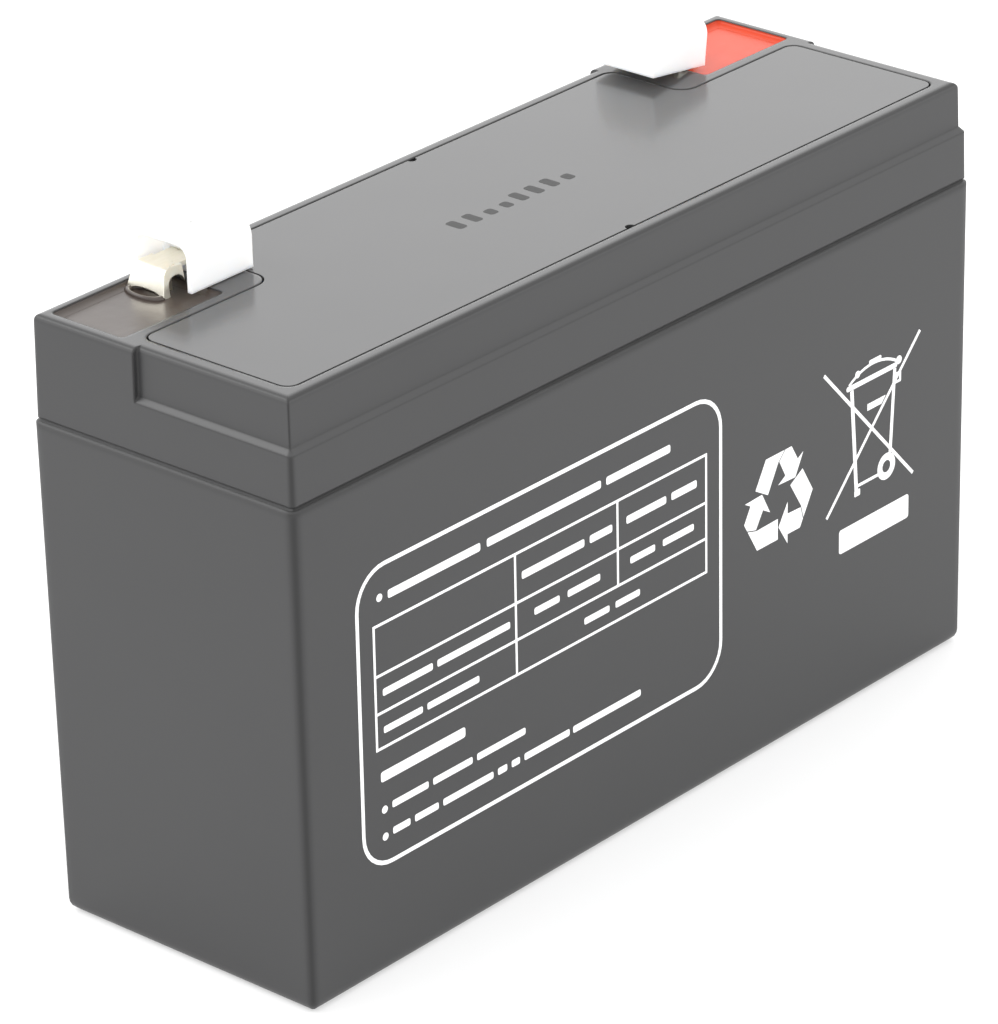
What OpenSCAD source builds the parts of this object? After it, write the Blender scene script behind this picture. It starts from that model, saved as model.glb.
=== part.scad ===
// Sealed lead acid battery, three cells in a row, with covered quick-connect tabs.
// X runs along the length, Y across the width, Z up; the origin is the centre of the base.
// The printed long side faces -Y and both tabs stand along the +Y edge.

/* [Container] */
// Length over the container at the lid joint
case_l = 151; // [145:0.5:170]
// Width over the container at the lid joint
case_w = 49.5; // [48:0.5:60]
// Height from the base to the top face of the lid
case_h = 94; // [90:0.5:110]
// Thickness of the container's outer walls
wall_t = 2.6; // [2.4:0.1:3.2]
// Thickness of the container's floor
floor_t = 2.6; // [2:0.1:4]
// Thickness of the two walls between the cells
partition_t = 1.6; // [1.2:0.1:2.2]
// How far each outer wall leans in between the joint and the base
draft = 0.45; // [0.1:0.05:0.6]
// Radius of the upright corners
corner_r = 1.2; // [0.9:0.1:3]
// Radius of the bottom edge
base_r = 2; // [0.6:0.1:2.5]
// Radius of the rim's outer edge at the joint
rim_r = 0.3; // [0.1:0.05:0.5]
// Height of the tongue that stands up into the lid's groove
tongue_h = 3.2; // [2.4:0.1:4]
// Thickness of that tongue
tongue_t = 1.2; // [1:0.1:1.3]
// Height of the floor ribs that carry the plates
floor_rib_h = 2.4; // [1:0.1:4]
// Thickness of the floor ribs
floor_rib_t = 1.8; // [1:0.1:3]

/* [Lid] */
// Height of the lid above the joint
lid_h = 16; // [15:0.1:20]
// Open line between the container's rim and the lid's skirt
joint_gap = 0.5; // [0.2:0.05:0.8]
// How far the skirt stands in from the container's rim
skirt_in = 0.3; // [0.1:0.05:0.4]
// How far the lid's sides lean in between the joint and the top
lid_draft = 0.25; // [0.1:0.05:0.4]
// Height of the skirt from the joint to the ledge
skirt_h = 8; // [6.5:0.1:9]
// How far the lid steps in above the ledge
ledge_in = 0.85; // [0.4:0.05:1]
// Height that the sloped ledge takes
ledge_h = 0.8; // [0.3:0.05:1.2]
// Radius of the lid's top edge
lid_edge_r = 1; // [0.5:0.1:1]
// Thickness of the deck between the cells and the valve tray
deck_t = 2; // [1.6:0.1:2.6]
// Clearance round the tongue and the partitions in the lid's grooves
groove_fit = 0.15; // [0.1:0.05:0.25]
// Thickness of the lid's ribs beside those grooves
lid_rib_t = 1.2; // [1:0.1:1.6]
// Length of the full-width corner block under each terminal
block_l = 31; // [30:0.5:34]
// Depth of that block from the back of the lid
block_w = 20; // [19:0.5:22]

/* [Cover plate] */
// Thickness of the cover plate
cover_t = 1.6; // [1.2:0.1:2]
// Distance from the container's end to the end of the plate
cover_end_margin = 4.25; // [4:0.05:5]
// Distance from the container's long side to the side of the plate
cover_side_margin = 3.85; // [3.7:0.05:4.5]
// Length of the corner left open for each terminal
cover_notch_l = 26; // [25.5:0.1:28]
// Depth of the corner left open for each terminal
cover_notch_w = 14.6; // [14:0.1:15.5]
// Width of the groove round the plate
cover_gap = 0.3; // [0.15:0.05:0.4]
// Radius of the plate's outer corners
cover_corner_r = 1.8; // [1:0.1:2.5]
// Radius of the plate's inner corners beside the terminals
cover_inner_r = 3; // [2:0.1:4]
// Radius of the pry notch in the middle of each long side
pry_r = 0.8; // [0.5:0.1:1.2]
// Width of the ledge in the lid that carries the plate
cover_seat = 2.2; // [1.6:0.1:2.8]

/* [Valves] */
// Outer diameter of the vent chimneys
chimney_d = 6; // [5:0.1:7]
// Bore of the vent chimneys
vent_d = 2.6; // [2:0.1:3.2]
// Height of the chimneys above the valve tray
chimney_h = 4.4; // [3.5:0.1:5]
// Outer diameter of the rubber valve caps
valve_d = 9.4; // [8.6:0.1:11]
// Thickness of a valve cap's top
valve_top_t = 1.3; // [0.9:0.1:1.4]
// Distance of the valve row from the middle of the lid, towards the front
valve_offset = 6; // [4:0.5:8]

/* [Terminals] */
// Distance from the container's end to the root of each terminal
terminal_end = 16.6; // [16:0.1:18]
// Distance from the container's back to the middle of each terminal
terminal_back = 6.75; // [6.6:0.05:7]
// Depth of the resin surface below the lid's top
resin_drop = 0.8; // [0.6:0.1:1.8]
// Depth of the resin that seals each terminal
resin_t = 4.2; // [3.6:0.1:4.6]
// Thickness of the rim left round the resin at the lid's outer faces
resin_rim = 2.1; // [1.2:0.1:2.4]
// Land between the resin recess and the cover plate's groove
resin_land = 1.8; // [1.4:0.1:2.2]
// How far the resin reaches past the terminal's hood, towards the middle
resin_past = 1.3; // [1.3:0.1:3]
// Radius of the recess corners
resin_corner_r = 0.8; // [0.5:0.1:3]
// Width of the tab blade
tab_w = 4.75; // [4.5:0.05:6.35]
// Thickness of the tab's sheet
tab_t = 0.8; // [0.6:0.05:0.9]
// Free length of the blade beyond the hood
tab_l = 8.6; // [6.4:0.1:9.4]
// Diameter of the hole in the blade
tab_hole_d = 1.4; // [1:0.1:2]
// Distance of that hole from the blade's tip
tab_hole_in = 3.2; // [2.4:0.1:4]
// Width of the terminal's hood at the resin
hood_w = 7.3; // [6.9:0.1:7.5]
// Width of the hood at its top
hood_top_w = 5.8; // [5.4:0.1:6.4]
// Length of the hood
hood_l = 4.6; // [4.4:0.1:5]
// Height of the hood above the resin
hood_h = 3.9; // [3.6:0.1:4.4]
// How far the hood's outer end leans in over its height
hood_lean = 0.7; // [0.3:0.1:1]
// Upward bend of the positive blade, in degrees
positive_bend = 7.5; // [0:0.5:8]
// Diameter of the lead posts under the terminals
post_d = 5.6; // [5:0.1:6]

/* [Tab covers] */
// Length of a tab cover
sleeve_l = 12.4; // [12:0.1:13]
// Width of a tab cover
sleeve_w = 11.4; // [11.3:0.1:11.8]
// Height of a tab cover
sleeve_h = 7.4; // [7:0.1:8.5]
// Wall thickness of a tab cover
sleeve_t = 0.8; // [0.6:0.05:0.85]
// Radius of a tab cover's upper edges
sleeve_r = 2.6; // [1.5:0.1:3.2]
// Distance of the cover's open end from the root of the terminal
sleeve_start = 2.4; // [2:0.1:3]
// How far the cover sits off the blade's middle, towards the front
sleeve_offset = 1.1; // [0.9:0.05:1.15]
// Length of the open mouth before the grip
sleeve_mouth = 5.5; // [4.5:0.1:6.5]
// Clearance of the cover's grip round the blade
sleeve_fit = 0.15; // [0.1:0.05:0.2]

/* [Cells] */
// Positive plates in each cell
positive_count = 5; // [3:1:6]
// Thickness of a positive plate
positive_t = 2.4; // [2:0.1:2.8]
// Thickness of a negative plate
negative_t = 1.8; // [1.4:0.1:2]
// Space between the tops of the flags and the lid joint
flag_clear = 0.4; // [0.3:0.1:1]
// Gap between the plates' side edges and the cell walls
plate_side_gap = 1.2; // [1:0.1:2]
// How far the glass mat stands out past the plates
mat_over = 0.5; // [0.2:0.05:0.5]
// Clearance on each face of the glass mats
mat_fit = 0.05; // [0.02:0.01:0.1]
// Width of the lug on each plate
lug_w = 7; // [5:0.1:8]
// Distance of the lug from the plate's side edge
lug_in = 3; // [2.5:0.1:4]
// Height of the lugs between the plates and the strap
lug_h = 5.5; // [4:0.1:6]
// Thickness of the straps that join the lugs
strap_t = 4; // [3:0.1:4.5]
// Height of the flag that stands beside a partition
flag_h = 10.5; // [9.5:0.1:10.6]
// Width of that flag
flag_w = 12; // [10:0.1:14]
// Thickness of that flag
flag_t = 2.4; // [1.8:0.1:2.4]
// Diameter of the weld through a partition
weld_d = 6.2; // [5:0.1:6.4]

/* [Hidden] */

$fn = 48;
// Facets on the small corner arcs of the moulded shells
shell_fn = 32;
// Steps in a rounded edge of a moulded shell
edge_steps = 5;
// Thickness of the slices that a moulded shell is stretched over
slice = 0.01;
// Overrun that lets a cut pass cleanly through a face
over = 1;
// Clearance between parts that sit in each other
fit = 0.05;
// Smallest corner radius that an inset outline keeps
min_r = 0.4;
// Corner radius inside each cell
pocket_r = 1;
// Clearance round the lead post in the lid, and how far its top stands into the resin
post_fit = 0.2;
post_up = 1.2;
// Land of the post's arm on each side of the post
arm_land = 0.5;
// Ribs that divide the valve tray, over the walls between the cells
tray_rib_t = 1.6;
// Space over and under a valve cap
valve_clear = 0.3;
valve_lift = 0.4;
// Bend radius of the hood, and its arched side windows
hood_bend_r = 1.3;
window_w = 3.2;
window_h = 2.7;
window_rise = 1.3;
// Low arched mouth at the foot of the hood's outer end
mouth_h = 0.8;
mouth_rise = 0.6;
// Space between the terminal's leg and the hood's sides, and the length of its foot
leg_gap = 0.1;
foot_l = 5;
// How far the leg stands past the middle of the hood
leg_past = 0.35;
// Chamfer at the blade's tip
blade_nose = 1;
// Space between the lid's top and the tab covers
sleeve_lift = 0.15;
// Space between the outermost plates and the cell walls
stack_fit = 0.3;
// How far a strap reaches past its outermost lugs, and past a lug on each side
strap_over = 0.3;
lug_fillet = 0.5;
// How far the mats stand above the plates
mat_top = 1.5;
// Space between a flag and the wall beside it, and its land round the weld
flag_gap = 0.3;
weld_land = 0.65;

cell_count = 3;
joint_z = case_h - lid_h;
tongue_top = joint_z + tongue_h;
cells_l = case_l - 2 * wall_t;
cell_l = (cells_l - (cell_count - 1) * partition_t) / cell_count;
cell_w = case_w - 2 * wall_t;
cell_pitch = cell_l + partition_t;
rib_top = floor_t + floor_rib_h;

skirt_bottom = joint_z + joint_gap;
lid_corner_r = max(corner_r - skirt_in, min_r);
ledge_z = joint_z + skirt_h;
cover_z = case_h - cover_t;
tray_z = cover_z - valve_clear - valve_top_t - chimney_h;
deck_bottom = tray_z - deck_t;

cover_l = case_l - 2 * cover_end_margin;
cover_w = case_w - 2 * cover_side_margin;

resin_z = case_h - resin_drop;
resin_floor = resin_z - resin_t;
recess_x0 = -case_l / 2 + skirt_in + resin_rim;
recess_y0 = cover_w / 2 - cover_notch_w + cover_gap + resin_land;
recess_y1 = case_w / 2 - skirt_in - resin_rim;

terminal_x = -case_l / 2 + terminal_end;
terminal_y = case_w / 2 - terminal_back;
recess_x1 = terminal_x + hood_l + resin_past;
leg_x = (hood_l + hood_lean) / 2 - tab_t / 2 + leg_past;
leg_w = hood_top_w - 2 * tab_t - 2 * leg_gap;
post_x = terminal_x + leg_x + tab_t / 2;
post_top = resin_floor + post_up;
sleeve_base = case_h - resin_z + sleeve_lift;

negative_count = positive_count + 1;
gap_count = positive_count + negative_count - 1;
stack_w = cell_w - 2 * draft - 2 * stack_fit;
mat_space = (stack_w - positive_count * positive_t - negative_count * negative_t) / gap_count;
plate_w = cell_l - 2 * plate_side_gap;
strap_z = joint_z - flag_clear - flag_h;
plate_top = strap_z - lug_h;
plate_h = plate_top - rib_top;
strap_w = lug_w + 2 * lug_fillet;
weld_z = strap_z + flag_h - weld_d / 2 - weld_land;

// Flat rectangle with round corners, centred
module round_rect(l, w, r) {
    square([l - 2 * r, w], center = true);
    square([l, w - 2 * r], center = true);
    for (sx = [-1, 1])
        for (sy = [-1, 1])
            translate([sx * (l / 2 - r), sy * (w / 2 - r)])
                circle(r = r);
}

// Flat rectangle with round corners between two opposite corners
module round_rect_between(x0, y0, x1, y1, r) {
    translate([(x0 + x1) / 2, (y0 + y1) / 2])
        round_rect(x1 - x0, y1 - y0, r);
}

// Heights and insets of the slices that make a rounded upper edge ending at height z
function top_edge(z, inset, r) = [
    for (i = [0 : edge_steps])
        let (a = 90 * i / edge_steps)
        [z - slice - r * (1 - sin(a)), inset + r * (1 - cos(a))]
];

// Heights and insets of the slices that make a rounded bottom edge starting at height z
function bottom_edge(z, inset, r) = [
    for (i = [0 : edge_steps])
        let (a = 90 * i / edge_steps)
        [z + r * (1 - cos(a)), inset + r * (1 - sin(a))]
];

// Solid stretched over slices of the case outline, each given as [height, inset]
module moulded_solid(slices) {
    hull()
        for (s = slices)
            translate([0, 0, s[0]])
                linear_extrude(slice)
                    round_rect(
                        case_l - 2 * s[1], case_w - 2 * s[1],
                        max(corner_r - s[1], min_r), $fn = shell_fn);
}

// Repeats its children at each cell, or only at those in the list
module at_cells(cells = [0 : cell_count - 1]) {
    for (i = cells)
        translate([(i - (cell_count - 1) / 2) * cell_pitch, 0, 0])
            children();
}

// Repeats its children at each partition
module at_partitions() {
    for (i = [0 : cell_count - 2])
        translate([(i - (cell_count - 2) / 2) * cell_pitch, 0, 0])
            children();
}

// Places a child at the root of the negative terminal, on the resin
module at_terminal() {
    translate([terminal_x, terminal_y, resin_z])
        children();
}

// The positive end is the mirror of the negative one
module positive_side() {
    mirror([1, 0, 0])
        children();
}

// Moulded tub with three cells, a tongue round its rim and ribs on its floor

module cell_pocket() {
    hull() {
        translate([0, 0, floor_t])
            linear_extrude(slice)
                round_rect(cell_l - 2 * draft, cell_w - 2 * draft, pocket_r, $fn = shell_fn);
        translate([0, 0, tongue_top + over])
            linear_extrude(slice)
                round_rect(cell_l, cell_w, pocket_r, $fn = shell_fn);
    }
}

module floor_ribs() {
    for (sx = [-1, 1])
        translate([sx * plate_w / 4 - floor_rib_t / 2, -cell_w / 2, floor_t / 2])
            cube([floor_rib_t, cell_w, rib_top - floor_t / 2]);
}

module container() {
    color([0.17, 0.17, 0.18])
        difference() {
            union() {
                difference() {
                    union() {
                        moulded_solid(concat(
                            bottom_edge(0, draft, base_r),
                            top_edge(joint_z, 0, rim_r)));
                        translate([0, 0, joint_z - over])
                            linear_extrude(tongue_h + over)
                                round_rect(cells_l + 2 * tongue_t, cell_w + 2 * tongue_t, corner_r);
                    }
                    at_cells()
                        cell_pocket();
                }
                at_cells()
                    floor_ribs();
            }
            at_partitions()
                translate([-partition_t, 0, weld_z])
                    rotate([0, 90, 0])
                        cylinder(d = weld_d + 2 * fit, h = 2 * partition_t);
        }
}

// Moulded lid: a stepped skirt, full-width corner blocks, a tray for the valves,
// recesses for the terminals and grooves that take the container's tongue

module cover_outline(grow) {
    l = cover_l / 2 + grow;
    w = cover_w / 2 + grow;
    nl = cover_l / 2 - cover_notch_l + grow;
    nw = cover_w / 2 - cover_notch_w + grow;
    r = max(cover_corner_r + grow, min_r);
    ri = cover_inner_r - grow;
    round_rect_between(-l, -w, l, nw, r);
    round_rect_between(-nl, -w, nl, w, r);
    for (sx = [-1, 1])
        mirror([sx < 0 ? 1 : 0, 0])
            translate([nl, nw])
                difference() {
                    translate([-slice, -slice])
                        square(ri + slice);
                    translate([ri, ri])
                        circle(r = ri);
                }
}

module terminal_recess() {
    translate([0, 0, resin_floor])
        linear_extrude(resin_t + resin_drop + over)
            round_rect_between(recess_x0, recess_y0, recess_x1, recess_y1, resin_corner_r);
    translate([post_x, terminal_y, joint_z - over])
        cylinder(d = post_d + 2 * post_fit, h = resin_floor - joint_z + 2 * over);
}

// Room of the corner block under one terminal, which the step round the lid leaves standing
module corner_block() {
    translate([-case_l, case_w / 2 - block_w, ledge_z - over])
        cube([case_l / 2 + block_l, case_w, lid_h]);
}

// Sweeps a flat profile round the lid's outline. In the profile, X runs out from the lid's
// outer face and Y is the height. Round a corner the profile ends at the corner's own axis
module round_lid() {
    l = case_l - 2 * skirt_in;
    w = case_w - 2 * skirt_in;
    r = lid_corner_r;
    for (side = [[l, w, 0], [w, l, 90], [l, w, 180], [w, l, 270]])
        rotate(side[2]) {
            translate([r - side[0] / 2, -side[1] / 2, 0])
                rotate([90, 0, 90])
                    linear_extrude(side[0] - 2 * r)
                        mirror([1, 0])
                            children();
            translate([r - side[0] / 2, r - side[1] / 2, 0])
                rotate(180)
                    rotate_extrude(angle = 90)
                        intersection() {
                            translate([r, 0])
                                children();
                            square([r + over, case_h + over]);
                        }
        }
}

// How far the leaning face of the lid stands in at height z
function lean(z) = lid_draft * (z - skirt_bottom) / (case_h - skirt_bottom);

// What is cut away outside a leaning face of the lid that starts at height z: the face
// itself and the rounded top edge, after whatever is cut below them
module edge_profile(z, face_in, below) {
    top_in = face_in + lean(case_h);
    polygon(concat(
        below,
        [[-face_in - lean(z), z]],
        [for (i = [0 : edge_steps])
            let (a = 90 * i / edge_steps)
            [-top_in - lid_edge_r * (1 - cos(a)), case_h - lid_edge_r * (1 - sin(a))]],
        [[-top_in - lid_edge_r, case_h + over], [over, case_h + over]]));
}

module lid_form() {
    difference() {
        translate([0, 0, skirt_bottom])
            linear_extrude(case_h - skirt_bottom)
                round_rect(case_l - 2 * skirt_in, case_w - 2 * skirt_in, lid_corner_r);
        round_lid()
            edge_profile(skirt_bottom, 0, [[over, skirt_bottom]]);
        difference() {
            round_lid()
                edge_profile(ledge_z + ledge_h, ledge_in, [[over, ledge_z], [-lean(ledge_z), ledge_z]]);
            corner_block();
            positive_side()
                corner_block();
        }
    }
}

module tongue_groove() {
    translate([0, 0, joint_z - over])
        linear_extrude(tongue_h + groove_fit + over)
            difference() {
                round_rect(
                    cells_l + 2 * (tongue_t + groove_fit), cell_w + 2 * (tongue_t + groove_fit),
                    corner_r);
                at_cells()
                    round_rect(cell_l - 2 * groove_fit, cell_w - 2 * groove_fit, pocket_r);
            }
}

module head_space() {
    rib_in = groove_fit + lid_rib_t;
    translate([0, 0, joint_z - over])
        linear_extrude(deck_bottom - joint_z + over)
            round_rect(cell_l - 2 * rib_in, cell_w - 2 * rib_in, pocket_r);
}

module valve_tray() {
    difference() {
        translate([0, 0, tray_z])
            linear_extrude(cover_z - tray_z + slice)
                cover_outline(-cover_seat);
        at_partitions()
            translate([-tray_rib_t / 2, -case_w / 2, tray_z - over])
                cube([tray_rib_t, case_w, cover_z - tray_z + over]);
    }
    translate([0, 0, cover_z])
        linear_extrude(cover_t + over)
            cover_outline(cover_gap);
}

module vent_chimney() {
    difference() {
        translate([0, -valve_offset, tray_z - deck_t / 2])
            cylinder(d = chimney_d, h = chimney_h + deck_t / 2);
        vent_bore();
    }
}

module vent_bore() {
    translate([0, -valve_offset, deck_bottom - over])
        cylinder(d = vent_d, h = deck_t + chimney_h + 2 * over);
}

module lid() {
    color([0.19, 0.19, 0.2])
        difference() {
            union() {
                difference() {
                    lid_form();
                    tongue_groove();
                    at_cells()
                        head_space();
                    valve_tray();
                    terminal_recess();
                    positive_side()
                        terminal_recess();
                }
                at_cells()
                    vent_chimney();
            }
            at_cells()
                vent_bore();
        }
}

// Glossy plate that closes the valve tray, flush with the lid

module cover_plate() {
    color([0.24, 0.24, 0.25])
        difference() {
            translate([0, 0, cover_z])
                linear_extrude(cover_t)
                    cover_outline(0);
            for (sy = [-1, 1])
                translate([0, sy * cover_w / 2, cover_z + cover_t / 2])
                    cylinder(r = pry_r, h = cover_t);
        }
}

// Rubber cap that grips a vent chimney and lifts under pressure

module valve_cap(i) {
    top = cover_z - valve_clear;
    color([0.08, 0.08, 0.08])
        at_cells([i])
            translate([0, -valve_offset, 0])
                difference() {
                    translate([0, 0, tray_z + valve_lift])
                        cylinder(d = valve_d, h = top - tray_z - valve_lift);
                    translate([0, 0, tray_z])
                        cylinder(d = chimney_d, h = chimney_h);
                }
}

// Resin that fills each terminal recess round the post and the tab's leg

module resin() {
    difference() {
        translate([0, 0, resin_floor])
            linear_extrude(resin_t)
                round_rect_between(
                    recess_x0 + fit, recess_y0 + fit, recess_x1 - fit, recess_y1 - fit,
                    resin_corner_r - fit);
        translate([post_x, terminal_y, resin_floor - over])
            cylinder(d = post_d + 2 * fit, h = post_top - resin_floor + over);
        at_terminal()
            terminal_leg(fit);
    }
}

module negative_resin() {
    color([0.24, 0.21, 0.19])
        resin();
}

module positive_resin() {
    color([0.9, 0.12, 0.1])
        positive_side()
            resin();
}

// Tinned brass terminal: a leg and foot in the resin, a formed hood and a flat blade

// Side view of the hood, moved in by the given amount all round
module hood_side(inset) {
    r = hood_bend_r;
    polygon(concat(
        [[inset, -over * sign(inset)]],
        [for (i = [0 : 8])
            let (a = 170 - 80 * i / 8)
            [hood_lean + r + (r - inset) * cos(a), hood_h - r + (r - inset) * sin(a)]],
        [[hood_l + over * sign(inset), hood_h - inset],
         [hood_l + over * sign(inset), -over * sign(inset)]]));
}

// End view of the hood
module hood_end(inset) {
    slope = (hood_w - hood_top_w) / 2 / hood_h;
    drop = over * sign(inset);
    polygon([
        [-hood_w / 2 + inset - slope * drop, -drop],
        [hood_w / 2 - inset + slope * drop, -drop],
        [hood_top_w / 2 - inset, hood_h],
        [-hood_top_w / 2 + inset, hood_h]
    ]);
}

module hood_solid(inset) {
    intersection() {
        rotate([90, 0, 0])
            linear_extrude(2 * hood_w, center = true)
                hood_side(inset);
        translate([-over, 0, 0])
            rotate([90, 0, 90])
                linear_extrude(hood_l + 3 * over)
                    hood_end(inset);
    }
}

// Arched opening of the given width and height, standing on the resin
module arch(w, h, rise) {
    polygon(concat(
        [[-w / 2, -over]],
        [for (i = [0 : 8])
            let (a = 180 - 180 * i / 8)
            [w / 2 * cos(a), h - rise + rise * sin(a)]],
        [[w / 2, -over]]));
}

module hood() {
    difference() {
        hood_solid(0);
        hood_solid(tab_t);
        translate([leg_x + tab_t / 2, 0, 0])
            rotate([90, 0, 0])
                linear_extrude(2 * hood_w, center = true)
                    arch(window_w, window_h, window_rise);
        translate([-over, 0, 0])
            rotate([90, 0, 90])
                linear_extrude(2 * over)
                    arch(hood_w - 2 * tab_t, mouth_h, mouth_rise);
    }
}

// Leg and foot, grown by the given clearance where they are cut out of the resin
module terminal_leg(grow) {
    foot_z = post_top - resin_z;
    translate([leg_x - grow, -leg_w / 2 - grow, foot_z])
        cube([tab_t + 2 * grow, leg_w + 2 * grow, hood_h - tab_t / 2 - foot_z]);
    translate([leg_x + tab_t / 2 - foot_l / 2 - grow, -tab_w / 2 - grow, foot_z])
        cube([foot_l + 2 * grow, tab_w + 2 * grow, tab_t + grow]);
}

// Turns a child about the bend at the blade's root
module at_bend(bend) {
    translate([hood_l - tab_t, 0, hood_h - tab_t / 2])
        rotate([0, -bend, 0])
            children();
}

module blade() {
    tip = tab_l + tab_t;
    translate([0, 0, -tab_t / 2])
        difference() {
            linear_extrude(tab_t)
                polygon([
                    [0, -tab_w / 2],
                    [tip - blade_nose, -tab_w / 2],
                    [tip, -tab_w / 2 + blade_nose],
                    [tip, tab_w / 2 - blade_nose],
                    [tip - blade_nose, tab_w / 2],
                    [0, tab_w / 2]
                ]);
            translate([tip - tab_hole_in, 0, -over])
                cylinder(d = tab_hole_d, h = tab_t + 2 * over);
        }
}

module terminal(bend) {
    at_terminal() {
        hood();
        terminal_leg(0);
        at_bend(bend)
            blade();
    }
}

module negative_terminal() {
    color([0.86, 0.83, 0.74])
        terminal(0);
}

module positive_terminal() {
    color([0.86, 0.83, 0.74])
        positive_side()
            terminal(positive_bend);
}

// Thin-walled plastic cover pushed over each blade: an arched sleeve, open towards
// the hood and underneath it, with a solid grip round the blade at its closed end

module sleeve_section(inset) {
    w = sleeve_w - 2 * inset;
    r = sleeve_r - inset;
    translate([-sleeve_offset, sleeve_h / 2 - inset / 2]) {
        square([w, sleeve_h - inset - 2 * r], center = true);
        translate([0, -r / 2])
            square([w, sleeve_h - inset - r], center = true);
        square([w - 2 * r, sleeve_h - inset], center = true);
        for (sy = [-1, 1])
            translate([sy * (w / 2 - r), (sleeve_h - inset) / 2 - r])
                circle(r = r);
    }
}

module tab_cover(bend) {
    mid = hood_h - tab_t / 2;
    start = sleeve_start - hood_l + tab_t;
    at_terminal()
        at_bend(bend)
            translate([start, 0, sleeve_base - mid])
                difference() {
                    rotate([90, 0, 90])
                        linear_extrude(sleeve_l)
                            sleeve_section(0);
                    translate([-over, 0, 0])
                        rotate([90, 0, 90])
                            linear_extrude(sleeve_mouth + over)
                                sleeve_section(sleeve_t);
                    translate([-over, -sleeve_offset - sleeve_w / 2 + sleeve_t, -over])
                        cube([sleeve_mouth + over, sleeve_w - 2 * sleeve_t, sleeve_h / 2 + over]);
                    translate([0, -tab_w / 2 - sleeve_fit, mid - sleeve_base - tab_t / 2 - sleeve_fit])
                        cube([tab_l + tab_t - start + sleeve_fit, tab_w + 2 * sleeve_fit,
                            tab_t + 2 * sleeve_fit]);
                }
}

module negative_tab_cover() {
    color([0.95, 0.95, 0.94])
        tab_cover(0);
}

module positive_tab_cover() {
    color([0.95, 0.95, 0.94])
        positive_side()
            tab_cover(positive_bend);
}

// Lead post that stands on an end cell's strap and carries the terminal

module post() {
    strap_mid = -case_l / 2 + wall_t + plate_side_gap + lug_in + lug_w / 2;
    arm_w = post_d + 2 * arm_land;
    translate([0, terminal_y, 0])
        union() {
            translate([strap_mid - strap_w / 2, -arm_w / 2, strap_z + strap_t])
                cube([post_x - strap_mid + strap_w / 2, arm_w, strap_t]);
            translate([post_x, 0, strap_z + strap_t])
                cylinder(d = arm_w, h = strap_t);
            translate([post_x, 0, strap_z + strap_t])
                cylinder(d = post_d, h = post_top - strap_z - strap_t);
        }
}

module negative_post() {
    color([0.45, 0.46, 0.49])
        post();
}

module positive_post() {
    color([0.45, 0.46, 0.49])
        positive_side()
            post();
}

// Plates of one polarity in one cell: pasted plates with lugs, cast on to one strap.
// Positive lugs stand on the +X side of each cell and negative ones on the -X side.

// Centre of plate k in the stack, counted over both polarities from the front
function stack_y(k) =
    -stack_w / 2 + negative_t / 2 + k * (mat_space + (positive_t + negative_t) / 2);

module plate(t) {
    translate([-plate_w / 2, -t / 2, rib_top])
        cube([plate_w, t, plate_h]);
    translate([plate_w / 2 - lug_in - lug_w, -t / 2, plate_top - over])
        cube([lug_w, t, lug_h + 2 * over]);
}

// A strap with a plate at each stack position; flag is true beside a partition
module plate_group(first, t, flag) {
    last = gap_count - first;
    strap_x = plate_w / 2 - lug_in - lug_w / 2;
    for (k = [first : 2 : last])
        translate([0, stack_y(k), 0])
            plate(t);
    translate([strap_x - strap_w / 2, stack_y(first) - t / 2 - strap_over, strap_z])
        cube([strap_w, stack_y(last) - stack_y(first) + t + 2 * strap_over, strap_t]);
    if (flag) {
        translate([cell_l / 2 - draft - flag_gap - flag_t, -flag_w / 2, strap_z])
            cube([flag_t, flag_w, flag_h]);
        translate([strap_x, -flag_w / 2, strap_z])
            cube([cell_l / 2 - draft - flag_gap - strap_x - slice, flag_w, strap_t]);
    }
}

module positive_plates(i) {
    color([0.36, 0.27, 0.22])
        at_cells([i])
            plate_group(1, positive_t, i < cell_count - 1);
}

module negative_plates(i) {
    color([0.42, 0.43, 0.45])
        at_cells([i])
            mirror([1, 0, 0])
                plate_group(0, negative_t, i > 0);
}

// Absorbent glass mats between the plates of one cell
module glass_mats(i) {
    t = mat_space - 2 * mat_fit;
    color([0.93, 0.93, 0.9])
        at_cells([i])
            for (k = [0 : gap_count - 1])
                translate([
                    -plate_w / 2 - mat_over,
                    (stack_y(k) + stack_y(k + 1)) / 2 - t / 2
                        + (k % 2 == 0 ? negative_t - positive_t : positive_t - negative_t) / 4,
                    rib_top
                ])
                    cube([plate_w + 2 * mat_over, t, plate_h + mat_top]);
}

// Lead weld that joins two flags through a partition
module partition_weld(i) {
    color([0.5, 0.51, 0.54])
        translate([(i - (cell_count - 2) / 2) * cell_pitch, 0, weld_z])
            rotate([0, 90, 0])
                cylinder(d = weld_d, h = partition_t + 2 * (draft + flag_gap), center = true);
}

container();
lid();
cover_plate();
valve_cap(0);  // valve_cap_1
valve_cap(1);  // valve_cap_2
valve_cap(2);  // valve_cap_3
negative_resin();
positive_resin();
negative_terminal();
positive_terminal();
negative_tab_cover();
positive_tab_cover();
negative_post();
positive_post();
positive_plates(0);  // cell_1_positive_plates
positive_plates(1);  // cell_2_positive_plates
positive_plates(2);  // cell_3_positive_plates
negative_plates(0);  // cell_1_negative_plates
negative_plates(1);  // cell_2_negative_plates
negative_plates(2);  // cell_3_negative_plates
glass_mats(0);  // cell_1_glass_mats
glass_mats(1);  // cell_2_glass_mats
glass_mats(2);  // cell_3_glass_mats
partition_weld(0);  // partition_weld_1
partition_weld(1);  // partition_weld_2
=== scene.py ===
"""Sealed lead acid battery: the finish of every part, the print on its side, and the studio."""
import math

import bmesh
import bpy
from mathutils import Matrix, Vector, geometry


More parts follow.
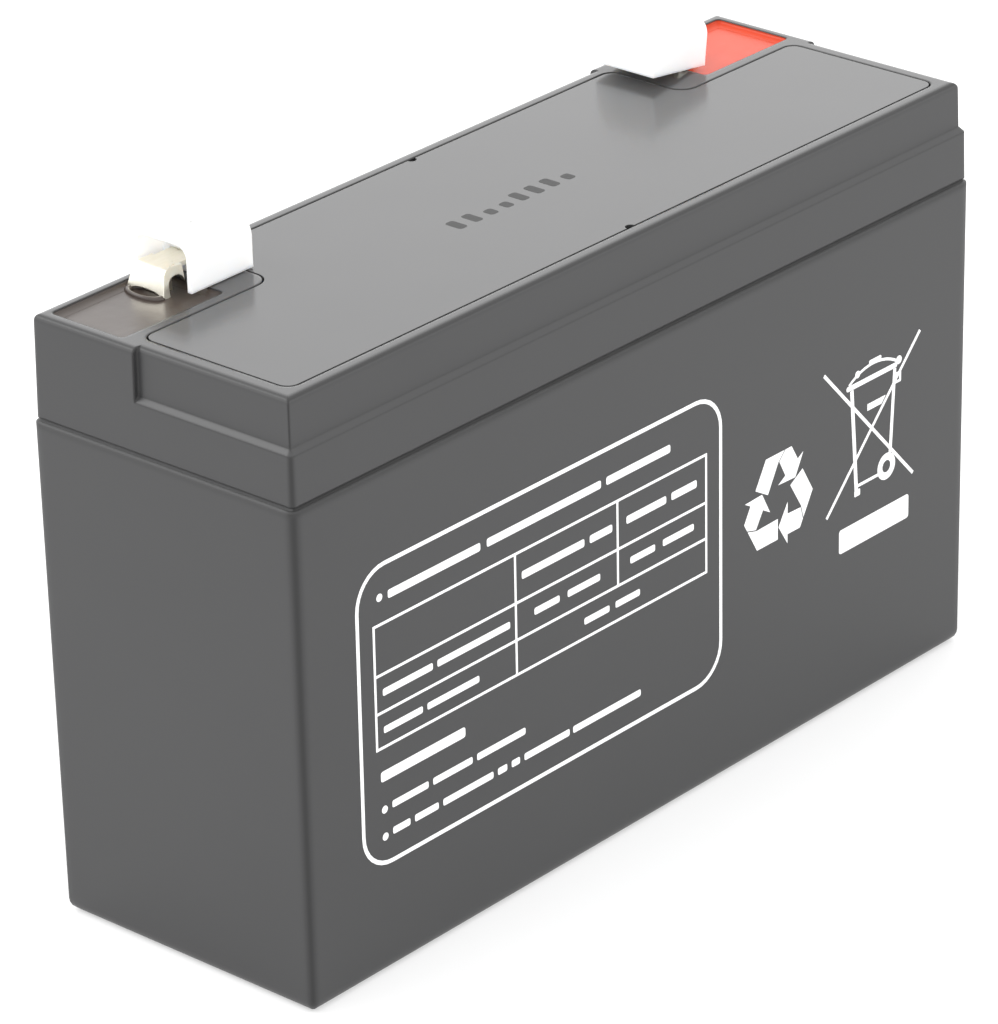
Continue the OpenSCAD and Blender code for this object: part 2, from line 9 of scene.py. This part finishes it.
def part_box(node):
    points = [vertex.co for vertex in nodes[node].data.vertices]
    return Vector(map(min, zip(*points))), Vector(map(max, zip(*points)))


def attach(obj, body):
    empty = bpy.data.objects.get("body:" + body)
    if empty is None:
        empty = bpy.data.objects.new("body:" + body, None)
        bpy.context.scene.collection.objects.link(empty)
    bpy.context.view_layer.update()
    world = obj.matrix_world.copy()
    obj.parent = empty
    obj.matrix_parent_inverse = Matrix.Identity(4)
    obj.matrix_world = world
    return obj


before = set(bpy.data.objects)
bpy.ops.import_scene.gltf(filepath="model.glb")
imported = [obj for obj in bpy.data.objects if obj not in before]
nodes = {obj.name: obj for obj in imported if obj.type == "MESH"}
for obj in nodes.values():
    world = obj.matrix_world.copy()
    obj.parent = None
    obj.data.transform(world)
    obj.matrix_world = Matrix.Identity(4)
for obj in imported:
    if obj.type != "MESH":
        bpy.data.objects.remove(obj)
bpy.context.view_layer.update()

# Container
# The tub that holds the three cells, injection moulded in dark grey ABS. Its walls lean in a
# little towards the foot so that it leaves the mould, which gave it a fine satin skin.
MM = 0.001


class Wire:
    """An output of one finish. Arithmetic on it adds the nodes that work it out."""

    def __init__(self, finish, socket):
        self.finish = finish
        self.socket = socket

    def worked(self, operation, *values):
        return self.finish.node("Math", {"operation": operation}, dict(enumerate(values)))

    def __add__(self, other):
        return self.worked("ADD", self, other)

    def __mul__(self, other):
        return self.worked("MULTIPLY", self, other)

    def __sub__(self, other):
        return self.worked("SUBTRACT", self, other)

    def __rsub__(self, other):
        return self.worked("SUBTRACT", other, self)

    def __gt__(self, other):
        return self.worked("GREATER_THAN", self, other)

    def or_more(self, other):
        return self.worked("MAXIMUM", self, other)

    def size(self):
        return self.worked("ABSOLUTE", self)

    def part(self, axis):
        """The X, Y or Z of a place or a direction."""
        return self.finish.node("SeparateXYZ", values={"Vector": self}, output=axis)

    def measured(self, operation, other):
        """A number that two places or two directions give."""
        return self.finish.node(
            "VectorMath", {"operation": operation}, {0: self, 1: other}, output="Value"
        )

    __radd__ = __add__
    __rmul__ = __mul__


class Finish:
    """One material and the nodes in it."""

    def __init__(self, name):
        self.material = bpy.data.materials.new(name)
        self.material.use_nodes = True
        self.tree = self.material.node_tree
        self.tree.nodes.clear()

    def node(self, kind, settings=None, values=None, output=0):
        made = self.tree.nodes.new("ShaderNode" + kind)
        for name, setting in (settings or {}).items():
            setattr(made, name, setting)
        for name, value in (values or {}).items():
            if isinstance(value, Wire):
                self.tree.links.new(value.socket, made.inputs[name])
            else:
                made.inputs[name].default_value = value
        return Wire(self, made.outputs[output] if made.outputs else None)

    def place(self):
        """Where a point lies on the battery, in metres."""
        return self.node("TexCoord", output="Object")

    def facing(self):
        """The way the surface faces, with its edges as sharp as they are."""
        return self.node("NewGeometry", output="Normal")

    def softened(self, edge):
        """The way the surface faces, turned gently over its edges."""
        return self.node("Bevel", {"samples": 8}, {"Radius": edge})

    def relief(self, height, depth, facing=None):
        """The way a surface faces once it is raised by height times depth."""
        values = {"Height": height, "Distance": depth, "Strength": 1}
        if facing:
            values["Normal"] = facing
        return self.node("Bump", values=values)

    def speckle(self, size, detail=2, roughness=0.5, stretch=(1, 1, 1)):
        """Soft noise with features of about that size, from 0 to 1."""
        stretched = self.node("Mapping", values={"Vector": self.place(), "Scale": stretch})
        return self.node(
            "TexNoise",
            values={"Vector": stretched, "Scale": 1 / size, "Detail": detail, "Roughness": roughness},
        )

    def between(self, mask, low, high):
        """A colour that goes from low to high with the mask."""
        ends = [end if isinstance(end, Wire) else (*end, 1) for end in (low, high)]
        return self.node("Mix", {"data_type": "RGBA"}, {0: mask, 6: ends[0], 7: ends[1]}, output=2)

    def surface(self, **values):
        inputs = {name.replace("_", " "): value for name, value in values.items()}
        shaded = self.node("BsdfPrincipled", values=inputs)
        self.node("OutputMaterial", values={"Surface": shaded})

    def dress(self, *names):
        for name in names:
            piece = nodes[name]
            piece.data.materials.clear()
            piece.data.materials.append(self.material)


def moulded_plastic(name, dark, light, roughness, gloss, edge, shaded_edge_foot=None):
    """ABS from an etched mould, with a polished top. Painted shade darkens its upright rounded corners,
    the lines along its edges and, when a foot height is given, the sloping edge above that height."""
    corner_shade_strength, crease_shade_strength = 6, 12
    level, sloping = 0.9, 0.55
    finish = Finish(name)
    clouds = finish.speckle(size=14 * MM, detail=3)
    grain = finish.speckle(size=0.35 * MM, detail=1)
    facing = finish.softened(edge)
    across, along, upward = [facing.part(axis).size() for axis in "XYZ"]
    is_top = upward > level
    # Painted shade: the upright rounded corners and the lines along every edge are darkened.
    corner = corner_shade_strength * (1 - across.or_more(along).or_more(3 * upward))
    crease_shade = crease_shade_strength * (1 - facing.measured("DOT_PRODUCT", finish.facing()))
    painted_shade = corner.or_more(crease_shade)
    if shaded_edge_foot:
        # Painted shade on the sloping edge round the top.
        top_edge_shade = (finish.place().part("Z") > shaded_edge_foot) * (upward > sloping) * (1 - is_top)
        painted_shade = painted_shade.or_more(top_edge_shade)
    shade = finish.between(clouds, dark, light)
    # The colour that the painted shade darkens towards.
    painted_shade_colour = tuple(channel * 0.35 for channel in dark)
    finish.surface(
        Base_Color=finish.between(painted_shade, shade, painted_shade_colour),
        Roughness=roughness + 0.05 * clouds - gloss * is_top,
        Normal=finish.relief(grain, 0.003 * MM, facing),
    )
    return finish


# The container's rounded corners and the lines along its edges are darkened with painted shade.
moulded_plastic(
    "container_plastic",
    dark=(0.029, 0.029, 0.030),
    light=(0.033, 0.033, 0.034),
    roughness=0.38,
    gloss=0.0,
    edge=2.0 * MM,
).dress("container")

# Plates
# In each cell, pasted lead grids of each polarity hang from lugs on a cast lead strap. The
# positive paste cures dark brown and the negative paste grey, with the grid just showing.
def pasted_plates(name, dark, light, plate_top):
    finish = Finish(name)
    is_lead = finish.place().part("Z") > plate_top
    pores = finish.speckle(size=0.8 * MM, detail=5, roughness=0.7)
    on_plate = finish.node(
        "Mapping", values={"Vector": finish.place(), "Rotation": (math.pi / 2, 0, 0)}
    )
    grid = finish.node(
        "TexBrick",
        {"offset": 0.5},
        {
            "Vector": on_plate,
            "Scale": 1,
            "Brick Width": 6 * MM,
            "Row Height": 5 * MM,
            "Mortar Size": 0.5 * MM,
        },
        output="Fac",
    )
    paste = finish.between(pores, dark, light)
    lead = finish.between(pores, (0.17, 0.175, 0.19), (0.24, 0.245, 0.26))
    finish.surface(
        Base_Color=finish.between(is_lead, paste, lead),
        Metallic=is_lead * 0.9,
        Roughness=0.85 - 0.4 * is_lead,
        Normal=finish.relief(pores * 0.4 + grid * 0.6, 0.12 * MM, finish.softened(0.15 * MM)),
    )
    return finish


mat_past_plate = 1.5 * MM
plate_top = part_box("cell_1_glass_mats")[1].z - mat_past_plate
cells = (1, 2, 3)
pasted_plates(
    "positive_paste", (0.045, 0.022, 0.014), (0.075, 0.040, 0.027), plate_top
).dress(*[f"cell_{n}_positive_plates" for n in cells])
pasted_plates(
    "negative_paste", (0.105, 0.110, 0.118), (0.160, 0.165, 0.175), plate_top
).dress(*[f"cell_{n}_negative_plates" for n in cells])

# Glass mats
# Absorbent glass fibre mats fill the space between the plates and hold the acid. They are
# soft, white and fibrous, cut a little larger than the plates and only pressed in.
mat = Finish("glass_mat")
fibres = mat.speckle(size=0.5 * MM, detail=6, roughness=0.75, stretch=(0.25, 1, 1))
mat.surface(
    Base_Color=mat.between(fibres, (0.62, 0.62, 0.59), (0.80, 0.80, 0.77)),
    Roughness=0.95,
    Sheen_Weight=0.3,
    Normal=mat.relief(fibres, 0.2 * MM),
)
mat.dress(*[f"cell_{n}_glass_mats" for n in cells])

# Posts and welds
# Cast lead: the welds join neighbouring cells through the partitions, and the posts rise
# from the end cells' straps to the terminals. Cast lead is dull, soft and slightly blue.
lead = Finish("cast_lead")
skin = lead.speckle(size=1.6 * MM, detail=4, roughness=0.6)
lead.surface(
    Base_Color=lead.between(skin, (0.19, 0.20, 0.22), (0.30, 0.31, 0.34)),
    Metallic=1.0,
    Roughness=0.40 + 0.20 * skin,
    Normal=lead.relief(skin, 0.05 * MM, lead.softened(0.25 * MM)),
)
lead.dress("partition_weld_1", "partition_weld_2", "negative_post", "positive_post")

# Lid
# One moulding in the same ABS, bonded over the container's tongue. Its sides carry the same satin skin,
# its top came from a polished part of the mould, and painted shade darkens the sloping edge round its
# top, its corners and the lines along its edges.
# How far down from the top the painted shade on the lid's edge reaches.
shaded_edge_height = 1.1 * MM
moulded_plastic(
    "lid_plastic",
    dark=(0.029, 0.029, 0.030),
    light=(0.033, 0.033, 0.034),
    roughness=0.36,
    gloss=0.20,
    edge=0.6 * MM,
    shaded_edge_foot=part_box("lid")[1].z - shaded_edge_height,
).dress("lid")

# Joint bead
# Solvent cement that was squeezed out when the lid was pressed on. It lies in the groove between the
# lid's skirt and the container's rim, grey on the ends, and on the long sides painted black as shade.
def rounded(x0, y0, x1, y1, radius, steps=8):
    """Outline of a flat rectangle with round corners, in millimetres."""
    corners = [(x1 - radius, y1 - radius, 0), (x0 + radius, y1 - radius, 90),
               (x0 + radius, y0 + radius, 180), (x1 - radius, y0 + radius, 270)]
    return [
        (x + radius * math.cos(turn), y + radius * math.sin(turn))
        for x, y, start in corners
        for turn in [math.radians(start + 90 * step / steps) for step in range(steps + 1)]
    ]


def band(mesh, here, after):
    """Faces between two closed lines that have the same number of points."""
    for start in range(len(here)):
        end = (start + 1) % len(here)
        mesh.faces.new([here[start], here[end], after[end], after[start]])


def closed_skin(mesh, loops):
    """A smooth skin over loops that follow each other round and meet again."""
    for here, after in zip(loops, loops[1:] + loops[:1]):
        band(mesh, here, after)
    bmesh.ops.recalc_face_normals(mesh, faces=mesh.faces)
    for face in mesh.faces:
        face.smooth = True


def shaped(name, mesh, finish):
    """The mesh as an object of the scene, with its finish on."""
    data = bpy.data.meshes.new(name)
    mesh.to_mesh(data)
    mesh.free()
    data.materials.append(finish.material)
    piece = bpy.data.objects.new(name, data)
    bpy.context.scene.collection.objects.link(piece)
    return piece


def ring(name, low, high, corner, section, finish):
    """A closed ring inside a flat box, its section given as insets and heights in millimetres."""
    smallest_corner = 0.05
    sharp_from = math.radians(40)
    mesh = bmesh.new()
    loops = []
    for inset, height in section:
        line = rounded(
            low.x + inset, low.y + inset, high.x - inset, high.y - inset,
            max(corner - inset, smallest_corner),
        )
        loops.append([mesh.verts.new(Vector((x, y, height)) * MM) for x, y in line])
    closed_skin(mesh, loops)
    for edge in mesh.edges:
        edge.smooth = edge.calc_face_angle() < sharp_from
    piece = shaped(name, mesh, finish)
    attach(piece, "root")


cement = Finish("joint_cement")
lumps = cement.speckle(size=2.5 * MM, detail=3)
# Painted shade: the bead is painted black on the long sides.
long_side_shade = cement.facing().part("Y").size() > 0.7
grey_cement = cement.between(lumps, (0.030, 0.030, 0.031), (0.045, 0.045, 0.046))
cement.surface(
    Base_Color=cement.between(long_side_shade, grey_cement, (0.003, 0.003, 0.003)),
    Roughness=0.35 + 0.1 * lumps,
    Normal=cement.relief(lumps, 0.1 * MM),
)
groove, clear = 0.5, 0.01
bead_front, bead_hollow, bead_back = 0.44, 0.52, 1.00
container_corner = 1.2
case_low, case_high = (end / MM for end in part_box("container"))
skirt_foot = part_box("lid")[0].z / MM
bead_section = [
    (bead_front, skirt_foot - groove + clear),
    (bead_hollow, skirt_foot - groove / 2),
    (bead_front, skirt_foot - clear),
    (bead_back, skirt_foot - clear),
    (bead_back, skirt_foot - groove + clear),
]
ring("joint_bead", case_low, case_high, container_corner, bead_section, cement)

# Valve caps
# Black synthetic rubber, pushed over the vent chimneys under the cover plate. They are
# moulded, dull and dusted with talc.
rubber = Finish("valve_rubber")
talc = rubber.speckle(size=1.2 * MM, detail=4, roughness=0.65)
rubber.surface(
    Base_Color=rubber.between(talc, (0.012, 0.012, 0.012), (0.045, 0.045, 0.044)),
    Roughness=0.75 + 0.2 * talc,
    Normal=rubber.relief(talc, 0.02 * MM, rubber.softened(0.3 * MM)),
)
rubber.dress("valve_cap_1", "valve_cap_2", "valve_cap_3")

# Cover plate
# A flush ABS plate welded over the valve tray. It is the glossiest part of the battery, with
# the slow waves that a thin moulding keeps after it cools.
cover = Finish("cover_plastic")
clouds = cover.speckle(size=18 * MM, detail=2)
waves = cover.speckle(size=22 * MM, detail=1)
grain = cover.speckle(size=0.5 * MM, detail=1)
cover.surface(
    Base_Color=cover.between(clouds, (0.040, 0.040, 0.041), (0.045, 0.045, 0.046)),
    Roughness=0.15 + 0.05 * clouds,
    Normal=cover.relief(waves + grain * 0.02, 0.05 * MM, cover.softened(0.15 * MM)),
)
cover.dress("cover_plate")

# Resin
# Casting resin poured round each terminal: dark brown on the negative side and bright red on
# the positive side. It sets with a wet gloss and a few shallow flow marks.
def cast_resin(name, dark, light, roughness, gloss):
    finish = Finish(name)
    flow = finish.speckle(size=5 * MM, detail=3, roughness=0.45)
    finish.surface(
        Base_Color=finish.between(flow, dark, light),
        Roughness=roughness,
        Specular_IOR_Level=gloss,
        Normal=finish.relief(flow, 0.09 * MM, finish.softened(0.2 * MM)),
    )
    finish.dress(name)
    return finish


def full_turn(steps):
    return [2 * math.pi * step / steps for step in range(steps)]


def crept(resin, terminal, finish):
    """Resin that crept up the walls of its recess and gathered at the foot of the hood."""
    low, high = (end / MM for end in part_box(resin))
    creep, reach, sunk, recess_corner = 0.72, 1.3, 0.05, 0.75
    section = [
        (reach * (1 - math.cos(turn)), high.z + creep * (1 - math.sin(turn)))
        for turn in [math.radians(degrees) for degrees in range(0, 91, 15)]
    ]
    section += [(reach, high.z - sunk), (0, high.z - sunk)]
    ring(f"{resin}_rim", low, high, recess_corner, section, finish)

    hood_low, hood_high = (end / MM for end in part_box(terminal))
    front = hood_low.x if hood_low.x < 0 else hood_high.x
    middle = Vector((front, (hood_low.y + hood_high.y) / 2, high.z))
    half_deep, half_wide, thickness, crest = 1.5, 3.1, 0.2, 0.55
    mesh = bmesh.new()
    loops = []
    for bearing in full_turn(48):
        outward = Vector((half_deep * math.cos(bearing), half_wide * math.sin(bearing), 0))
        line = [
            middle + outward * (1 + thickness * math.cos(turn)) + Vector((0, 0, crest * math.sin(turn)))
            for turn in full_turn(10)
        ]
        loops.append([mesh.verts.new(point * MM) for point in line])
    closed_skin(mesh, loops)
    collar = shaped(f"{resin}_collar", mesh, finish)
    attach(collar, "root")


brown = cast_resin(
    "negative_resin",
    dark=(0.042, 0.032, 0.027),
    light=(0.064, 0.050, 0.042),
    roughness=0.30,
    gloss=0.40,
)
crept("negative_resin", "negative_terminal", brown)
red = cast_resin(
    "positive_resin",
    dark=(0.47, 0.036, 0.008),
    light=(0.56, 0.052, 0.014),
    roughness=0.25,
    gloss=0.17,
)
crept("positive_resin", "positive_terminal", red)

# Terminals
# Quick-connect tabs blanked and folded from brass sheet and tin plated: a foot and leg in
# the resin, a formed hood and a flat blade. The tin is creamy and lightly rubbed.
tin = Finish("terminal_metal")
rubs = tin.speckle(size=0.6 * MM, detail=4, stretch=(0.2, 1, 1))
tin.surface(
    Base_Color=tin.between(rubs, (0.80, 0.76, 0.64), (0.92, 0.90, 0.81)),
    Metallic=1.0,
    Roughness=0.22 + 0.16 * rubs,
    Normal=tin.relief(rubs, 0.01 * MM, tin.softened(0.12 * MM)),
)
tin.dress("negative_terminal", "positive_terminal")

# Tab covers
# Soft white PVC sleeves, moulded thin and pushed over the tabs to keep them from shorting in transit.
# Light goes through them a little, a weak painted glow lightens even their shaded sides, and the small
# dent in each roof is painted dark as its shade.
def sleeve_plastic(node):
    """White PVC with the small dent that the moulding gate left in the middle of the roof. The dent is
    painted dark as its shade, and a weak painted glow lightens the whole sleeve.
    """
    gate_size = 0.9 * MM
    finish = Finish(f"{node}_plastic")
    low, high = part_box(node)
    gate = ((low.x + high.x) / 2, (low.y + high.y) / 2, high.z)
    away = finish.place().measured("DISTANCE", gate)
    dimple_and_shade = (1 - away * (1 / gate_size)).or_more(0)
    haze = finish.speckle(size=3 * MM, detail=2)
    white = finish.between(haze, (0.93, 0.93, 0.92), (0.96, 0.96, 0.95))
    finish.surface(
        # The dent in the roof is painted dark as its shade.
        Base_Color=finish.between(dimple_and_shade, white, (0.20, 0.20, 0.19)),
        Roughness=0.34 + 0.06 * haze,
        Subsurface_Weight=0.8,
        Subsurface_Radius=(2.0, 1.8, 1.6),
        Subsurface_Scale=1.2 * MM,
        # A weak painted glow that lightens the whole sleeve, shaded sides too.
        Emission_Color=(1, 1, 1, 1),
        Emission_Strength=0.10,
        Normal=finish.relief(haze * 0.1 - dimple_and_shade, 0.3 * MM, finish.softened(0.35 * MM)),
    )
    finish.dress(node)


sleeve_plastic("negative_tab_cover")
sleeve_plastic("positive_tab_cover")

# Print
# White pad-printed ink on the long side: a ruled frame with a table in it, and two pictured
# signs beside it. Plain bars stand where the words would be. The ink lies on the wall.
INK = 0.03


def disc(x, z, radius, steps=32):
    return [(x + radius * math.cos(turn), z + radius * math.sin(turn)) for turn in full_turn(steps)]


def stroke(x0, z0, x1, z1, width):
    """Outline of a straight line of that width."""
    start, end = Vector((x0, z0)), Vector((x1, z1))
    along = Vector((x1 - x0, z1 - z0)).normalized() * width / 2
    across = Vector((-along.y, along.x))
    return [tuple(corner) for corner in (start - across, end - across, end + across, start + across)]


def arched(x0, x1, z, rise, width, steps=12):
    """Outline of a curved line over a straight chord."""
    radius = ((x1 - x0) ** 2 / 4 + rise ** 2) / (2 * rise)
    half = math.asin((x1 - x0) / 2 / radius)
    middle = Vector(((x0 + x1) / 2, z + rise - radius))
    turns = [math.pi / 2 - half + 2 * half * step / steps for step in range(steps + 1)]
    outer, inner = [
        [(middle.x + reach * math.cos(turn), middle.y + reach * math.sin(turn)) for turn in turns]
        for reach in (radius + width / 2, radius - width / 2)
    ]
    return outer + inner[::-1]


def on_wall(x, z, proud):
    """The point of the printed wall at x and z, that far out from it. All in millimetres."""
    hit, point, _, _ = nodes["container"].ray_cast(Vector((x * MM, -1, z * MM)), Vector((0, 1, 0)))
    if not hit:
        raise ValueError(f"the print at {x}, {z} misses the wall")
    return point - Vector((0, proud * MM, 0))


def inked(name, shapes, put, thickness, finish):
    """Each shape is an outline and its holes. It becomes a thin closed solid, half sunk.
    Shapes that cross lie at slightly different heights."""
    lift, levels = 0.0015, 8
    mesh = bmesh.new()
    for number, loops in enumerate(shapes):
        layer = thickness + lift * (number % levels)
        front = [[mesh.verts.new(put(x, z, layer)) for x, z in loop] for loop in loops]
        back = [[mesh.verts.new(put(x, z, -thickness)) for x, z in loop] for loop in loops]
        flat = [[Vector((x, z, 0)) for x, z in loop] for loop in loops]
        front_line = [vert for loop in front for vert in loop]
        back_line = [vert for loop in back for vert in loop]
        for corners in geometry.tessellate_polygon(flat):
            mesh.faces.new([front_line[corner] for corner in corners])
            mesh.faces.new([back_line[corner] for corner in reversed(corners)])
        for near, far in zip(front, back):
            band(mesh, near, far)
    bmesh.ops.recalc_face_normals(mesh, faces=mesh.faces)
    piece = shaped(name, mesh, finish)
    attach(piece, "root")


white_ink = Finish("white_ink")
coverage = white_ink.speckle(size=0.3 * MM, detail=3)
white_ink.surface(
    Base_Color=white_ink.between(coverage, (0.84, 0.84, 0.84), (0.93, 0.93, 0.93)),
    Roughness=0.45 + 0.1 * coverage,
    Normal=white_ink.relief(coverage, 0.005 * MM),
)

frame_left, frame_right, frame_foot, frame_top = -64.0, 15.7, 17.3, 64.4
frame_corner, frame_line = 6.1, 0.65
frame_shape = [
    rounded(
        frame_left + inset, frame_foot + inset, frame_right - inset, frame_top - inset,
        frame_corner - inset,
    )
    for inset in (0, frame_line)
]
inked("print_frame", [frame_shape], on_wall, INK, white_ink)

columns = (-60.4, -30.7, -8.2, 12.0)
rows = (35.95, 41.45, 47.3, 55.05)
half_line, cell_corner = 0.21, 0.05


def table_cell(left, right, low, high, inset=half_line):
    """The box between two columns and two rows, inset by half a line."""
    return rounded(
        columns[left] + inset, rows[low] + inset, columns[right] - inset, rows[high] - inset,
        cell_corner, steps=1,
    )


table_shape = [
    table_cell(0, 3, 0, 3, inset=-half_line),
    *[table_cell(column, column + 1, row, row + 1) for row in (1, 2) for column in (0, 1, 2)],
    table_cell(0, 1, 0, 1),
    table_cell(1, 3, 0, 1),
]
inked("print_table", [table_shape], on_wall, INK, white_ink)


def words(z_low, z_high, *spans):
    """Plain bars as long as words, in the middle of a line of print and about half as tall."""
    middle = (z_low + z_high) / 2
    half = (z_high - z_low) * 0.22
    corner = half / 2
    return [[rounded(x0, middle - half, x1, middle + half, corner, steps=3)] for x0, x1 in spans]


bars = [
    *words(57.6, 60.5, (-57.3, -38.0), (-36.6, -11.8), (-10.6, 3.8)),
    *words(49.8, 52.6, (-29.3, -15.6), (-14.4, -9.4)),
    *words(49.8, 52.6, (-6.2, 2.8), (4.0, 9.8)),
    *words(43.2, 45.7, (-58.9, -48.5), (-47.5, -32.0)),
    *words(43.2, 45.7, (-26.7, -21.2), (-19.4, -12.2)),
    *words(43.2, 45.7, (-5.4, 0.2), (2.0, 9.1)),
    *words(37.4, 39.8, (-58.9, -50.8), (-49.8, -38.8)),
    *words(37.4, 39.8, (-15.8, -10.2), (-8.8, -3.3)),
    *words(29.6, 33.3, (-59.8, -42.0)),
    *words(25.1, 27.6, (-57.6, -50.0), (-49.0, -40.6), (-39.6, -29.1)),
    *words(20.9, 23.4, (-57.6, -54.0), (-53.0, -48.0), (-47.0, -36.2), (-35.2, -33.2),
           (-32.2, -30.4), (-29.4, -19.4), (-18.6, -3.3)),
]
bullets = [[disc(x, z, 0.6, steps=16)] for x, z in ((-59.05, 59.2), (-59.2, 26.2), (-59.2, 21.9))]
inked("print_bars", bars + bullets, on_wall, INK, white_ink)

# Three bent arrows that chase each other round a triangle
arrows_middle = Vector((29.1, 41.4))
outer_line, inner_line, corner_cut, fold_half = 6.5, 3.1, 7.7, 1.5
barb_out, barb_in, head_back, fold_gap, tail_end = 8.0, 1.15, 2.15, 0.13, 0.2


def along_side(turn, out, forward):
    """A point that far out from the middle and that far along one side of the triangle."""
    angle = math.radians(turn)
    return (
        out * math.cos(angle) + forward * math.sin(angle),
        out * math.sin(angle) - forward * math.cos(angle),
    )


def chasing_arrow(turn):
    """The two flat parts of one bent arrow, with the fold between them left bare."""
    side = math.radians(30)
    fold_start = (corner_cut - outer_line * math.sin(side)) / math.cos(side)
    tail = [
        along_side(150, outer_line, tail_end),
        along_side(150, outer_line, fold_start),
        (fold_half - fold_gap, corner_cut),
        (-fold_gap, inner_line * 2),
        along_side(150, inner_line, tail_end),
    ]
    head = [
        (fold_half + fold_gap, corner_cut),
        along_side(30, outer_line, -fold_start),
        along_side(30, outer_line, -head_back),
        along_side(30, barb_out, -head_back),
        along_side(30, (barb_out + barb_in) / 2, 0),
        along_side(30, barb_in, -head_back),
        along_side(30, inner_line, -head_back),
        (fold_gap, inner_line * 2),
    ]
    spin = Matrix.Rotation(math.radians(turn), 2)
    return [[[tuple(spin @ Vector(point) + arrows_middle) for point in part]] for part in (tail, head)]


arrows = [part for turn in (0, -120, -240) for part in chasing_arrow(turn)]

# A crossed-out wheeled bin
cross_width, wall_width = 0.55, 0.8
crossing = [
    [stroke(39.9, 57.8, 62.2, 33.8, cross_width)],
    [stroke(63.5, 57.25, 40.75, 33.8, cross_width)],
]
bin_lid = [
    [rounded(45.4, 53.1, 57.9, 53.95, 0.4)],
    [arched(46.0, 58.0, 54.0, 1.8, 0.45)],
    [rounded(50.9, 55.8, 53.9, 56.5, 0.3)],
    [disc(48.1, 55.2, 0.6, steps=16)],
    [disc(58.3, 54.1, 0.7, steps=16)],
]
bin_body = [
    [stroke(46.7, 53.0, 48.1, 35.4, wall_width)],
    [stroke(57.3, 53.0, 56.4, 39.3, 0.7)],
    [stroke(48.2, 36.6, 53.6, 36.6, 0.5)],
    [disc(55.5, 37.3, 2.2), disc(55.5, 37.3, 1.0)],
    [rounded(47.6, 34.9, 49.0, 36.0, 0.2)],
    [rounded(57.3, 50.4, 58.9, 52.2, 0.2), rounded(57.75, 50.85, 58.45, 51.75, 0.1)],
    [[(50.6, 49.4), (50.6, 48.3), (54.1, 48.3), (55.1, 49.4)]],
]
bar_below = [[rounded(43.9, 26.6, 61.2, 30.6, 0.5)]]
signs = arrows + crossing + bin_lid + bin_body + bar_below
inked("print_signs", signs, on_wall, INK, white_ink)

# Batch marks
# A short row of marks stamped in dark ink on the cover plate, as a date code would be. Here
# they are plain strokes of two lengths.
dark_ink = Finish("dark_ink")
smudge = dark_ink.speckle(size=0.5 * MM, detail=3)
dark_ink.surface(
    Base_Color=dark_ink.between(smudge, (0.010, 0.010, 0.010), (0.030, 0.030, 0.030)),
    Roughness=0.5 + 0.2 * smudge,
    Normal=dark_ink.relief(smudge, 0.005 * MM),
)
cover_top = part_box("cover_plate")[1].z


def on_cover(x, y, proud):
    return Vector((x * MM, y * MM, cover_top + proud * MM))


first_left, first_right, pitch, foot, mark_corner = -15.6, -13.9, 3.4, -2.5, 0.5
tall, short = 3.2, 2.0
stamp_depth = 0.01
marks = []
for place, length in enumerate((tall, tall, short, short, tall, tall, tall, short)):
    left, right = first_left + pitch * place, first_right + pitch * place
    marks.append([rounded(left, foot, right, foot + length, mark_corner, steps=4)])
inked("batch_marks", marks, on_cover, stamp_depth, dark_ink)

# Studio
# A plain pale floor under soft white light from all round, and the camera where the
# photograph was taken from.
pale = Finish("floor")
dust = pale.speckle(size=80 * MM, detail=2)
pale.surface(
    Base_Color=pale.between(dust, (0.50, 0.50, 0.50), (0.51, 0.51, 0.51)),
    Roughness=0.9,
    Specular_IOR_Level=0.0,
    Emission_Color=(1, 1, 1, 1),
    Emission_Strength=0.45,
)
floor_mesh = bmesh.new()
bmesh.ops.create_grid(floor_mesh, x_segments=1, y_segments=1, size=3)
floor = shaped("floor", floor_mesh, pale)

sky = bpy.data.worlds.new("studio")
bpy.context.scene.world = sky
sky.use_nodes = True
daylight = sky.node_tree.nodes["Background"].inputs
daylight["Color"].default_value = (1, 1, 1, 1)
daylight["Strength"].default_value = 1.75


def towards(bearing, height):
    """The direction to something seen at that bearing and height in degrees."""
    bearing, height = math.radians(bearing), math.radians(height)
    level = math.cos(height)
    return Vector((math.sin(bearing) * level, -math.cos(bearing) * level, math.sin(height)))


def softbox(name, bearing, height, distance, width, tall, glow):
    """A flat white lamp that faces the battery and can't itself be seen."""
    lamp = bpy.data.lights.new(name, "AREA")
    lamp.shape = "RECTANGLE"
    lamp.size = width
    lamp.size_y = tall
    lamp.energy = math.pi * width * tall * glow
    stand = bpy.data.objects.new(name, lamp)
    stand.matrix_world = (
        Matrix.Translation(towards(bearing, height) * distance)
        @ towards(bearing, height).to_track_quat("Z", "Y").to_matrix().to_4x4()
    )
    stand.visible_camera = False
    bpy.context.scene.collection.objects.link(stand)


softbox("softbox_behind", bearing=131.6, height=27, distance=1.5, width=1.5, tall=1.1, glow=0.4)
softbox("softbox_left", bearing=-144, height=42, distance=1.5, width=0.8, tall=0.5, glow=4.5)

roll = math.radians(-1.4046)
distance = 839.31 * MM
target = Vector((-3.221, 2.556, 43.439)) * MM
backward = towards(bearing=-48.3958, height=25.3500)
level = (-backward).cross(Vector((0, 0, 1))).normalized()
upright = level.cross(-backward)
right = math.cos(roll) * level + math.sin(roll) * upright
up = -math.sin(roll) * level + math.cos(roll) * upright
lens = bpy.data.cameras.new("camera")
lens.sensor_fit = "HORIZONTAL"
lens.sensor_width = 36
lens.lens = 204.592
lens.clip_start = 0.01
camera = bpy.data.objects.new("camera", lens)
bpy.context.scene.collection.objects.link(camera)
camera.matrix_world = (
    Matrix.Translation(target + distance * backward)
    @ Matrix((right, up, backward)).transposed().to_4x4()
)
bpy.context.scene.camera = camera
bpy.context.scene.view_settings.view_transform = "Standard"
